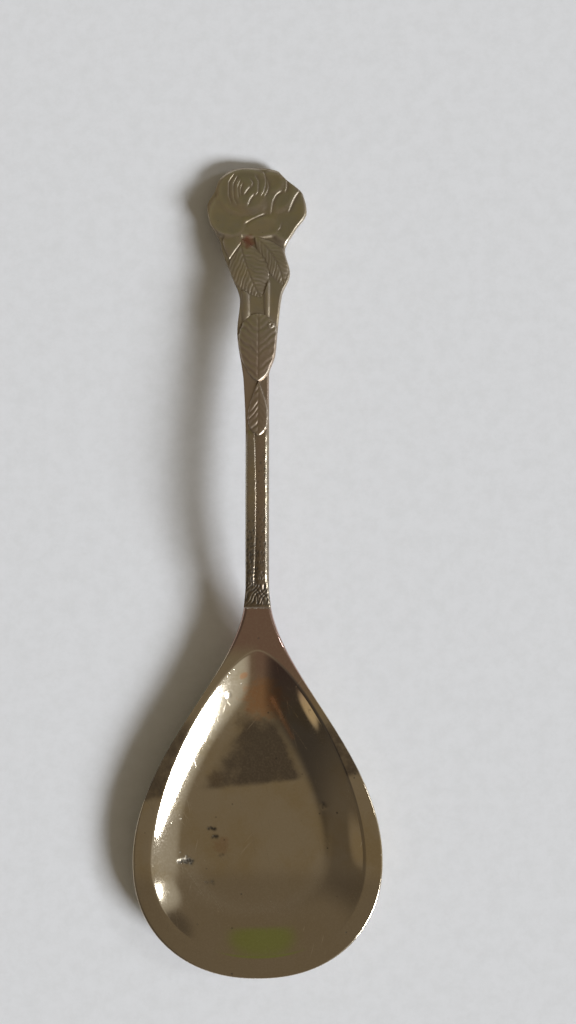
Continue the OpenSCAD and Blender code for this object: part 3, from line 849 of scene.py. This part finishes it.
# %% Build the handle
bx, by, side_drop = across(BACK_COLUMNS)
lap = by <= LAP_Y
under = np.minimum(np.maximum(side_drop, edge_drop(HEAD_Y - rows, END_R)[:, None]), BACK_R)
back_z = np.where(lap, curve(RIM_Z, by) + SOLDER_T, curve(FACE_Z, by) - curve(BODY_T, by) + under)
back = np.stack([bx, by, back_z], -1)
handle_grids = boxed(face, back)
plain = [np.zeros(g.shape[:2]) for g in handle_grids[1:]]
marks = {"tarnish_and_edge_shade": tarnish_and_edge_shade, "crest": crest, "pitted": pitted}
handle = sewn("rose_handle", handle_grids, {name: [mark] + plain for name, mark in marks.items()})
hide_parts("handle")
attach(handle, "root")

# %% [markdown]
# ## The solder
# Solder drew into the thin gap between tang and handle, and stands as a small hollow fillet in
# front of the handle's foot, with a web at the end of the tang. Its front edge is never quite
# straight, so it wanders by a few hundredths of a millimetre.

# %% Build the solder bead
BEAD_W, BEAD_H, BEAD_FRONT, WEB = 0.25, 0.35, 0.03, 0.01
BEAD_COLUMNS = 61
bead_steps = np.linspace(0, 1, 9)
film = SEAM_Y + (LAP_Y - SOLDER_T - SEAM_Y) * np.linspace(0, 1, 25)
ends = np.array([LAP_Y - SOLDER_T + WEB, LAP_Y - WEB])
seam_y = np.concatenate([SEAM_Y - BEAD_W + (BEAD_W - WEB) * bead_steps, film, ends])
half_w = curve(FOOT_HALF, seam_y) - SIDE_GAP
sx = half_w[:, None] * np.linspace(-1, 1, BEAD_COLUMNS)[None, :]
sy = np.repeat(seam_y[:, None], BEAD_COLUMNS, 1)
ripple = 0.05 * np.sin(5.3 * sx + 0.6) + 0.03 * np.sin(11.7 * sx)
sy = sy + np.concatenate([1 - bead_steps, 0 * film, 0 * ends])[:, None] * ripple
rise = BEAD_FRONT + (BEAD_H - BEAD_FRONT) * bead_steps**2
fillet = np.concatenate([rise, 0 * film + SOLDER_T, 0 * ends + SOLDER_T])
web_drop = np.concatenate([0 * bead_steps, 0 * film, 0 * ends + TANG_T])
rest_z = curve(RIM_Z, np.minimum(sy, np.where(web_drop > 0, LAP_Y, TOP_Y)[:, None]))
seam_top = np.stack([sx, sy, rest_z + fillet[:, None]], -1)
seam_low = np.stack([sx, sy, rest_z - web_drop[:, None]], -1)
solder = sewn("solder_bead", boxed(seam_top, seam_low))
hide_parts("solder_seam")
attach(solder, "root")

# %% [markdown]
# ## Building shader nodes from code
# A material is a small graph. A few helpers keep the code short: one adds a node and wires or sets
# its inputs, one fades a value smoothly between two limits, one adds a noise, and two lay films
# over a colour or add up a value from weighted masks. Another starts a node group with named
# sockets, which is built once and placed in each material with its own values.

# %% Node helpers
def put(tree, kind, inputs=None, **settings):
    """Adds a shader node; an input is a value or the socket that feeds it."""
    made = tree.nodes.new("ShaderNode" + kind)
    made.location = (190 * (len(tree.nodes) % 12), -230 * (len(tree.nodes) // 12))
    for name, value in settings.items():
        setattr(made, name, value)
    for key, value in (inputs or {}).items():
        if isinstance(value, bpy.types.NodeSocket):
            tree.links.new(value, made.inputs[key])
        else:
            made.inputs[key].default_value = value
    return made


def sums(tree, operation, a, b):
    return put(tree, "Math", {0: a, 1: b}, operation=operation).outputs[0]


def times(tree, a, b):
    return sums(tree, "MULTIPLY", a, b)


def most(tree, a, b):
    return sums(tree, "MAXIMUM", a, b)


def fade(tree, value, start, end, low=0.0, high=1.0):
    limits = {"Value": value, "From Min": start, "From Max": end, "To Min": low, "To Max": high}
    return put(tree, "MapRange", limits, interpolation_type="SMOOTHSTEP").outputs["Result"]


def mixed(tree, factor, a, b):
    wires = {"Factor": factor, 6: a, 7: b}
    return put(tree, "Mix", wires, data_type="RGBA").outputs[2]


def noisy(tree, place, scale, detail, roughness=0.5):
    inputs = {"Vector": place, "Scale": scale, "Detail": detail, "Roughness": roughness}
    return put(tree, "TexNoise", inputs).outputs[0]


def tinted(tree, colour, *films):
    """Lays films over a colour; each is a mask, a strength and a tint."""
    for mask, strength, tint in films:
        colour = mixed(tree, times(tree, mask, strength), colour, tint)
    return colour


def added(tree, value, *parts):
    """Adds parts to a value; each is a mask and a weight."""
    for mask, weight in parts:
        value = sums(tree, "ADD", value, times(tree, mask, weight))
    return value


# %% Node group and place helpers
def new_group(name, inputs, outputs):
    """Starts a group; an input is its name, kind and value, an output its name and kind."""
    tree = bpy.data.node_groups.new(name, "ShaderNodeTree")
    for socket, kind, value in inputs:
        made = tree.interface.new_socket(socket, in_out="INPUT", socket_type="NodeSocket" + kind)
        made.default_value = value
    for socket, kind in outputs:
        tree.interface.new_socket(socket, in_out="OUTPUT", socket_type="NodeSocket" + kind)
    return tree, tree.nodes.new("NodeGroupInput").outputs, tree.nodes.new("NodeGroupOutput").inputs


def place_mm(tree):
    """The place on the spoon in millimetres."""
    place = put(tree, "TexCoord").outputs["Object"]
    return put(tree, "VectorMath", {0: place, 3: 1 / MM}, operation="SCALE").outputs[0]


def on_mesh(tree, *names):
    """The values that the mesh keeps under these names."""
    return [put(tree, "Attribute", attribute_name=name).outputs["Fac"] for name in names]


# %% [markdown]
# ## Tarnish, hairlines, pitting and stains
# Old plated metal has four kinds of marks that all of its pieces share. Tarnish lies over it in
# faint clouds. Hairlines are the long fine scratches of years of wiping. Pitting is a scatter of
# pin holes. Stains are spots with a ragged edge. Each is a group that puts out a mask or a height,
# so that each material can decide what the mark does to its colour, gloss and surface.

# %% Group: tarnish clouds
def cloud_group():
    tree, given, out = new_group(
        "tarnish_clouds",
        [("Size", "Float", 8.0), ("Amount", "Float", 0.5)],
        [("Mask", "Float"), ("Grain", "Float")],
    )
    place = place_mm(tree)
    scale = sums(tree, "DIVIDE", 1.0, given["Size"])
    broad = noisy(tree, place, scale, 4.0, 0.6)
    fine = noisy(tree, place, 3.1, 3.0, 0.65)
    cloud = fade(tree, broad, 0.4, 0.68)
    tree.links.new(times(tree, cloud, given["Amount"]), out["Mask"])
    tree.links.new(fine, out["Grain"])
    return tree


CLOUDS = cloud_group()
print(CLOUDS.name, "group:", len(CLOUDS.nodes), "nodes")

# %% Group: hairlines
def hairline_group():
    tree, given, out = new_group(
        "hairlines",
        [("Angle", "Float", 0.5), ("Per mm", "Float", 5.0), ("Share", "Float", 0.3)],
        [("Mask", "Float")],
    )
    place = place_mm(tree)
    masks = []
    for turn, length in ((1.0, 0.06), (0.35, 0.11)):
        angle = times(tree, given["Angle"], turn)
        wires = {"Vector": place, "Angle": angle}
        turned = put(tree, "VectorRotate", wires, rotation_type="Z_AXIS")
        stretch = put(tree, "CombineXYZ", {0: given["Per mm"], 1: length, 2: 0.3})
        wires = {0: turned.outputs[0], 1: stretch.outputs[0]}
        drawn = put(tree, "VectorMath", wires, operation="MULTIPLY").outputs[0]
        streaks = noisy(tree, drawn, 1.0, 1.5)
        limit = fade(tree, given["Share"], 0.0, 1.0, 0.8, 0.4)
        above = sums(tree, "SUBTRACT", streaks, limit)
        masks.append(fade(tree, above, 0.0, 0.07))
    tree.links.new(most(tree, *masks), out["Mask"])
    return tree


HAIRLINES = hairline_group()
print(HAIRLINES.name, "group:", len(HAIRLINES.nodes), "nodes")

# %% Group: pin holes
def pitting_group():
    tree, given, out = new_group(
        "pin_holes",
        [("Spacing", "Float", 1.2), ("Share", "Float", 0.3)],
        [("Mask", "Float")],
    )
    place = place_mm(tree)
    scale = sums(tree, "DIVIDE", 1.0, given["Spacing"])
    cells = put(tree, "TexVoronoi", {"Vector": place, "Scale": scale, "Randomness": 1.0})
    hole = fade(tree, cells.outputs["Distance"], 0.16, 0.05)
    chance = put(tree, "SeparateColor", {0: cells.outputs["Color"]}).outputs[0]
    kept = sums(tree, "LESS_THAN", chance, given["Share"])
    tree.links.new(times(tree, hole, kept), out["Mask"])
    return tree


PIN_HOLES = pitting_group()
print(PIN_HOLES.name, "group:", len(PIN_HOLES.nodes), "nodes")

# %% Group: a stain
def stain_group():
    tree, given, out = new_group(
        "stain",
        [("Middle", "Vector", (0, 0, 0)), ("Radius", "Float", 1.0), ("Ragged", "Float", 0.5)],
        [("Mask", "Float")],
    )
    place = place_mm(tree)
    wires = {0: place, 1: given["Middle"]}
    apart = put(tree, "VectorMath", wires, operation="DISTANCE").outputs["Value"]
    uneven = sums(tree, "SUBTRACT", noisy(tree, place, 0.9, 2.0), 0.5)
    ragged = times(tree, uneven, given["Ragged"])
    share = sums(tree, "ADD", sums(tree, "DIVIDE", apart, given["Radius"]), ragged)
    tree.links.new(fade(tree, share, 1.0, 0.35), out["Mask"])
    return tree


STAIN = stain_group()
print(STAIN.name, "group:", len(STAIN.nodes), "nodes")

# %% Place groups and start a metal
def placed(tree, group, **values):
    made = tree.nodes.new("ShaderNodeGroup")
    made.node_tree = group
    for key, value in values.items():
        made.inputs[key.replace("_", " ")].default_value = value
    return made.outputs


def new_metal(name, roughness):
    """A metal with its tree and shader inputs; the roughness is for viewers that read no nodes."""
    material = bpy.data.materials.new(name)
    material.use_nodes = True
    shader = material.node_tree.nodes["Principled BSDF"].inputs
    shader["Metallic"].default_value = 1.0
    shader["Roughness"].default_value = roughness
    return material, material.node_tree, shader


def engrave(tree, shader, marks, depth):
    """Lets marks sink into the surface by a depth in mm."""
    inputs = {"Height": marks, "Strength": 0.5, "Distance": depth * MM}
    bump = put(tree, "Bump", inputs, invert=True)
    tree.links.new(bump.outputs[0], shader["Normal"])


print("groups:", [g.name for g in bpy.data.node_groups])

# %% [markdown]
# ## The finish of the bowl
# The bowl was polished, then used for years. It still mirrors the room, but a fine grain of sharp
# and dull places lays a haze over each reflection. The plate has a warm grey colour with yellowish
# clouds. Round the arch it is etched, and a reddish blush tints it up to the seam. Stains are thin,
# so they tint the metal and leave it metal, and only the amber run is also dull. A dark reflection
# painted on the upper floor and the rim beside it tints the metal in the same way, painted shade
# darkens the tip, and a painted highlight lies along the crease round the arch. Last come pale
# scuffs, along the deeper scratches and in a faint grain.

# %% Tints and stains of the bowl
SILVER = (0.62, 0.54, 0.41, 1)
YELLOWED = (0.56, 0.45, 0.27, 1)
TIP_SHADE = (0.47, 0.40, 0.30, 1)
REFLECTED_DARK = (0.23, 0.195, 0.16, 1)
BLUSH = (0.50, 0.345, 0.29, 1)
SCUFF_AND_GLINT = (0.78, 0.70, 0.58, 1)
RUST = (0.42, 0.20, 0.09, 1)
AMBER = (0.70, 0.34, 0.16, 1)
COPPERY = (0.68, 0.39, 0.21, 1)
DARK_REFLECTION_SPOT = (0.20, 0.15, 0.11, 1)
SOOT = (0.03, 0.025, 0.02, 1)
# middle, radius, raggedness, strength and colour of each stain
STAINS = [
    ((1.2, -22.6), 4.8, 0.9, 0.85, COPPERY), ((-2.4, -18.6), 0.9, 1.0, 0.6, AMBER),
    # The two dark spots are painted reflection: they break up the edge of the dark reflection on the
    # upper floor.
    ((-2.5, -27.0), 2.2, 1.2, 0.4, DARK_REFLECTION_SPOT), ((-7.6, -36.8), 1.9, 0.7, 0.55, DARK_REFLECTION_SPOT),
    ((-6.3, -48.2), 1.8, 1.4, 0.3, RUST),
]


def on_bowl(x, y):
    """The place on the bowl's upper face at x and y."""
    faces = [bowl_grids[k + j].reshape(-1, 3) for k in (RIM_TOP, WELL_TOP) for j in (0, len(half))]
    upper = np.concatenate(faces)
    return upper[np.hypot(upper[:, 0] - x, upper[:, 1] - y).argmin()]


print("first stain at", on_bowl(*STAINS[0][0]).round(2), "mm")

# %% Colour of the polished silver
polished, tree, shader = new_metal("polished_silver", 0.12)
clouds = placed(tree, CLOUDS, Size=9.0, Amount=0.75)
holes = placed(tree, PIN_HOLES, Spacing=1.5, Share=0.16)["Mask"]
scratches = placed(tree, HAIRLINES, Angle=0.7, Per_mm=1.6, Share=0.24)["Mask"]
pitted, dark_reflection, crease_glint, streak, scoured = on_mesh(tree, "pitted", "dark_reflection", "crease_glint", "streak", "scoured")
place = put(tree, "SeparateXYZ", {0: place_mm(tree)}).outputs
neck = times(tree, fade(tree, place["Y"], -26.0, -16.0), fade(tree, place["X"], -3.0, 0.5))
neck = most(tree, neck, fade(tree, place["Y"], -16.0, -12.5))
mottle = noisy(tree, place_mm(tree), 0.5, 4.0)
# This mask is the dark reflection painted on the upper floor and on the rim, mottled.
film = fade(tree, times(tree, dark_reflection, fade(tree, mottle, 0.3, 0.7, 0.8, 1.25)), 0.05, 0.95)
spots = []
for centre, radius, ragged, strength, tint in STAINS:
    spot = placed(tree, STAIN, Middle=on_bowl(*centre), Radius=radius, Ragged=ragged)["Mask"]
    spots.append((spot, strength, tint))
dark = most(tree, pitted, times(tree, holes, 0.7))
scuffs = most(tree, scratches, fade(tree, clouds["Grain"], 0.42, 0.66, 0.0, 0.12))
colour = tinted(
    tree, mixed(tree, clouds["Mask"], SILVER, YELLOWED),
    # Painted shade: the tip below y -51 mm is darkened, as its reflections are darker.
    (fade(tree, place["Y"], -51.0, -55.0), 0.8, TIP_SHADE), (neck, 1.0, BLUSH), (film, 1.0, REFLECTED_DARK),
    # The pale line along the crease is a painted highlight; the same pale colour marks the scuffs.
    (crease_glint, 0.7, SCUFF_AND_GLINT), *spots, (streak, 1.0, AMBER), (dark, 0.9, SOOT), (scuffs, 1.0, SCUFF_AND_GLINT),
)
tree.links.new(colour, shader["Base Color"])
bowl.data.materials.append(polished)
print("bowl colour:", len(tree.nodes), "nodes")

# %% Gloss and marks of the polished silver
lines = most(tree, placed(tree, HAIRLINES, Angle=-0.6, Per_mm=6.0, Share=0.34)["Mask"], scratches)
etched = placed(tree, STAIN, Middle=(-4.5, -25.0, 3.2), Radius=9.0, Ragged=1.6)["Mask"]
etched = most(tree, etched, fade(tree, place["Y"], -15.5, -12.5))
dull = added(
    tree, fade(tree, clouds["Grain"], 0.38, 0.72, 0.045, 0.085),
    (etched, 0.04), (lines, 0.06), (scoured, 0.12), (streak, 0.3),
    (fade(tree, place["Y"], -44.0, -54.0), 0.06), (dark, 0.3),
)
tree.links.new(dull, shader["Roughness"])
rough_grain = times(tree, etched, clouds["Grain"])
engrave(tree, shader, added(tree, holes, (lines, 0.7), (rough_grain, 0.5)), 0.01)
print("bowl finish:", len(tree.nodes), "nodes")

# %% [markdown]
# ## The finish of the handle
# The handle came from the die with a satin skin, so it spreads reflections more than the bowl. Its
# crests were wiped bright, its recesses kept a brown tarnish, and under the rose a reddish residue
# has stayed. The same brown is painted as shade along the left side and the ends of the handle.
# The pitted stem is darker still, and the lower stem darkens towards the foot.

# %% Struck silver
SATIN = (0.445, 0.385, 0.302, 1)
ROSY = (0.48, 0.36, 0.28, 1)
BRIGHT = (0.84, 0.78, 0.65, 1)
TARNISH_AND_EDGE_SHADE = (0.22, 0.17, 0.11, 1)
RED_BROWN = (0.30, 0.09, 0.05, 1)
GRIME = (0.09, 0.08, 0.07, 1)
struck, tree, shader = new_metal("struck_silver", 0.3)
clouds = placed(tree, CLOUDS, Size=5.0, Amount=0.5)
lines = placed(tree, HAIRLINES, Angle=0.9, Per_mm=8.0, Share=0.3)["Mask"]
holes = placed(tree, PIN_HOLES, Spacing=0.7, Share=0.25)["Mask"]
residue = placed(tree, STAIN, Middle=(-1.7, 56.4, 4.3), Radius=1.5, Ragged=1.2)["Mask"]
tarnish_and_edge_shade, crest, pitted = on_mesh(tree, "tarnish_and_edge_shade", "crest", "pitted")
place = put(tree, "SeparateXYZ", {0: place_mm(tree)}).outputs
# Darker towards the foot, most on the left of the stem.
lower_stem_darkening = fade(tree, place["Y"], 14.0, -3.5, 0.0, 0.9)
lower_stem_darkening = times(tree, lower_stem_darkening, fade(tree, place["X"], 0.0, 0.8, 1.0, 0.6))
rosy = times(tree, fade(tree, place["X"], -0.7, 0.3), fade(tree, place["X"], 1.5, 0.9))
rosy = most(tree, rosy, fade(tree, place["Y"], 20.0, 26.0))
rosy = times(tree, rosy, fade(tree, place["Y"], 44.0, 34.0))
# The recess mask lays tarnish in the hollows and painted shade along the left side and the ends.
colour = tinted(
    tree, mixed(tree, clouds["Mask"], SATIN, YELLOWED),
    (rosy, 0.65, ROSY), (crest, 0.35, BRIGHT), (tarnish_and_edge_shade, 0.55, TARNISH_AND_EDGE_SHADE), (lower_stem_darkening, 1.0, TARNISH_AND_EDGE_SHADE),
    (pitted, 0.8, GRIME), (residue, 0.7, RED_BROWN), (holes, 0.4, SOOT),
)
tree.links.new(colour, shader["Base Color"])
dull = added(
    tree, fade(tree, place["Y"], 15.0, 40.0, 0.24, 0.36),
    (fade(tree, clouds["Grain"], 0.3, 0.75), 0.1), (most(tree, tarnish_and_edge_shade, pitted), 0.15),
    (lines, 0.06),
)
tree.links.new(dull, shader["Roughness"])
engrave(tree, shader, added(tree, holes, (lines, 0.3), (clouds["Grain"], 1.2)), 0.012)
handle.data.materials.append(struck)
print("handle finish:", len(tree.nodes), "nodes")

# %% [markdown]
# ## The finish of the solder
# Solder is a softer and paler alloy than the plate. It dulls to an even grey and takes on few
# marks, so clouds and pin holes are enough.

# %% Solder
GREY, DULL_GREY = (0.60, 0.55, 0.46, 1), (0.34, 0.29, 0.22, 1)
soldered, tree, shader = new_metal("solder", 0.36)
clouds = placed(tree, CLOUDS, Size=1.6, Amount=0.8)
holes = placed(tree, PIN_HOLES, Spacing=0.5, Share=0.3)["Mask"]
colour = mixed(tree, clouds["Mask"], GREY, DULL_GREY)
tree.links.new(mixed(tree, holes, colour, SOOT), shader["Base Color"])
tree.links.new(fade(tree, clouds["Grain"], 0.3, 0.7, 0.3, 0.45), shader["Roughness"])
engrave(tree, shader, holes, 0.012)
solder.data.materials.append(soldered)
print("solder finish:", len(tree.nodes), "nodes")

# %% [markdown]
# ## The paper
# The spoon lies on white paper. It is a wide pale floor with a faint fibre in its colour and
# surface, and without any gloss, so that it stays even when seen at a low angle.

# %% Lay the paper
PAPER = (0.80, 0.80, 0.80, 1)
PAPER_SHADE = (0.76, 0.76, 0.755, 1)
PAPER_SIZE, PAPER_GAP = 10, 0.05 * MM
bpy.ops.mesh.primitive_plane_add(size=PAPER_SIZE, location=(0, 0, -PAPER_GAP))
floor = bpy.context.object
floor.name = "paper"
paper = bpy.data.materials.new("paper")
paper.use_nodes = True
tree = paper.node_tree
shader = tree.nodes["Principled BSDF"].inputs
shader["Roughness"].default_value = 0.9
shader["Specular IOR Level"].default_value = 0.0
fibre = noisy(tree, place_mm(tree), 0.35, 6.0, 0.75)
tint = mixed(tree, fade(tree, fibre, 0.35, 0.7), PAPER, PAPER_SHADE)
tree.links.new(tint, shader["Base Color"])
bump = put(tree, "Bump", {"Height": fibre, "Strength": 0.3, "Distance": 0.08 * MM})
tree.links.new(bump.outputs[0], shader["Normal"])
floor.data.materials.append(paper)
print("paper:", PAPER_SIZE, "m wide")

# %% [markdown]
# ## The window
# Only the faces of the metal that turn to the window are bright. The window and a pane beside it
# are flat lamps. Each is given by its bearing, its height and the angles that it fills as seen from
# the spoon, because these decide where its reflection lies and how soft the shadow is. The lamps
# hang far away, so the paper is lit evenly.

# %% Hang the lights
from mathutils import Quaternion, Vector

DAYLIGHT = (0.93, 0.98, 1.065)
LAMP_AWAY = 24.0
LIT_SPOT = Vector((0, -0.01, 0))


def heading(azimuth, elevation=0):
    a, e = np.radians(azimuth), np.radians(elevation)
    return Vector((np.cos(a) * np.cos(e), np.sin(a) * np.cos(e), np.sin(e)))


def window(name, azimuth, elevation, wide, tall, radiance, roll=0):
    """A rectangle of light; its angles are in degrees."""
    lamp = bpy.data.lights.new(name, "AREA")
    lamp.shape = "RECTANGLE"
    lamp.size = 2 * LAMP_AWAY * np.tan(np.radians(wide / 2))
    lamp.size_y = 2 * LAMP_AWAY * np.tan(np.radians(tall / 2))
    lamp.energy = radiance * np.pi * lamp.size * lamp.size_y
    lamp.color = DAYLIGHT
    hung = bpy.data.objects.new(name, lamp)
    away = heading(azimuth, elevation)
    hung.location = away * LAMP_AWAY + LIT_SPOT
    turned = away.to_track_quat("Z", "Y") @ Quaternion((0, 0, 1), np.radians(roll))
    hung.rotation_euler = turned.to_euler()
    hung.visible_camera = False
    scene.collection.objects.link(hung)
    print(f"{name}: {lamp.size:.2f} by {lamp.size_y:.2f} m, {lamp.energy:.1f} W")


window("window", -37, 26.3, 21, 14, 48, roll=-30)
window("side_pane", 5, 31, 8, 6, 22)

# %% [markdown]
# ## The room
# The rest of what the metal mirrors is a dim warm room, so most of it looks brown. Dim lamps would
# show hard edges in the polished bowl. A world shader can paint the room by direction instead: a
# few tints that fade into each other, for the low shade, a dark corner and some round places that
# are brighter, darker or greener than the rest.

# %% Places in the room
room = bpy.data.worlds.new("room")
scene.world = room
room.use_nodes = True
tree = room.node_tree
way = put(tree, "TexCoord").outputs["Generated"]
height = put(tree, "SeparateXYZ", {0: way}).outputs["Z"]
WALL_TOP, WALL_LOW = 0.16, 0.1


def towards(azimuth, elevation=0):
    """How much a direction has of the given one."""
    wires = {0: way, 1: heading(azimuth, elevation)}
    return put(tree, "VectorMath", wires, operation="DOT_PRODUCT").outputs["Value"]


def patch(azimuth, elevation, inner, outer):
    """A round place: its direction and the angles at which it fades."""
    limits = np.cos(np.radians(outer)), np.cos(np.radians(inner))
    return fade(tree, towards(azimuth, elevation), *limits)


def sector(start, end, soft_start, soft_end):
    """The room between two bearings, each with the softness of its limit."""
    after = fade(tree, towards(start + 90), 0.0, soft_start)
    return times(tree, after, fade(tree, towards(end - 90), 0.0, soft_end))


wall_angle = float(np.degrees(np.arcsin(WALL_TOP)))
print("from the spoon the room begins", round(wall_angle, 1), "degrees up")

# %% Dim the room
ROOM = (0.21, 0.175, 0.128, 1)
WALLS = (0.40, 0.39, 0.375, 1)
SHADE = (0.125, 0.104, 0.08, 1)
DARK = (0.06, 0.052, 0.046, 1)
GARDEN = (0.19, 0.21, 0.075, 1)
LAMPLIT = (0.55, 0.46, 0.34, 1)
GLOW = (0.54, 0.52, 0.47, 1)
HALF_LIT = (0.38, 0.35, 0.30, 1)
FAINT = (0.24, 0.20, 0.148, 1)
light = ROOM
for spot, tint in (
    (fade(tree, height, 0.45, 0.3, 0.0, 0.75), SHADE),
    (sector(150, 242, 0.35, 0.35), SHADE),
    (sector(210, 255, 0.15, 0.3), DARK),
    (patch(36, 31, 7, 16), SHADE),
    (patch(95, 46, 8, 17), GARDEN),
    (patch(-161, 25, 2, 9), FAINT),
    (patch(-136.5, 26, 1.5, 4), LAMPLIT),
    (patch(-15, 37, 6, 20), HALF_LIT),
    (patch(-50, 29, 7, 22), GLOW),
    (patch(10, 39, 5, 13), GLOW),
    (fade(tree, height, WALL_TOP, WALL_LOW), WALLS),
):
    light = mixed(tree, spot, light, tint)
tree.links.new(light, tree.nodes["Background"].inputs["Color"])
tree.nodes["Background"].inputs["Strength"].default_value = 1.0
print("room:", len(tree.nodes), "nodes")
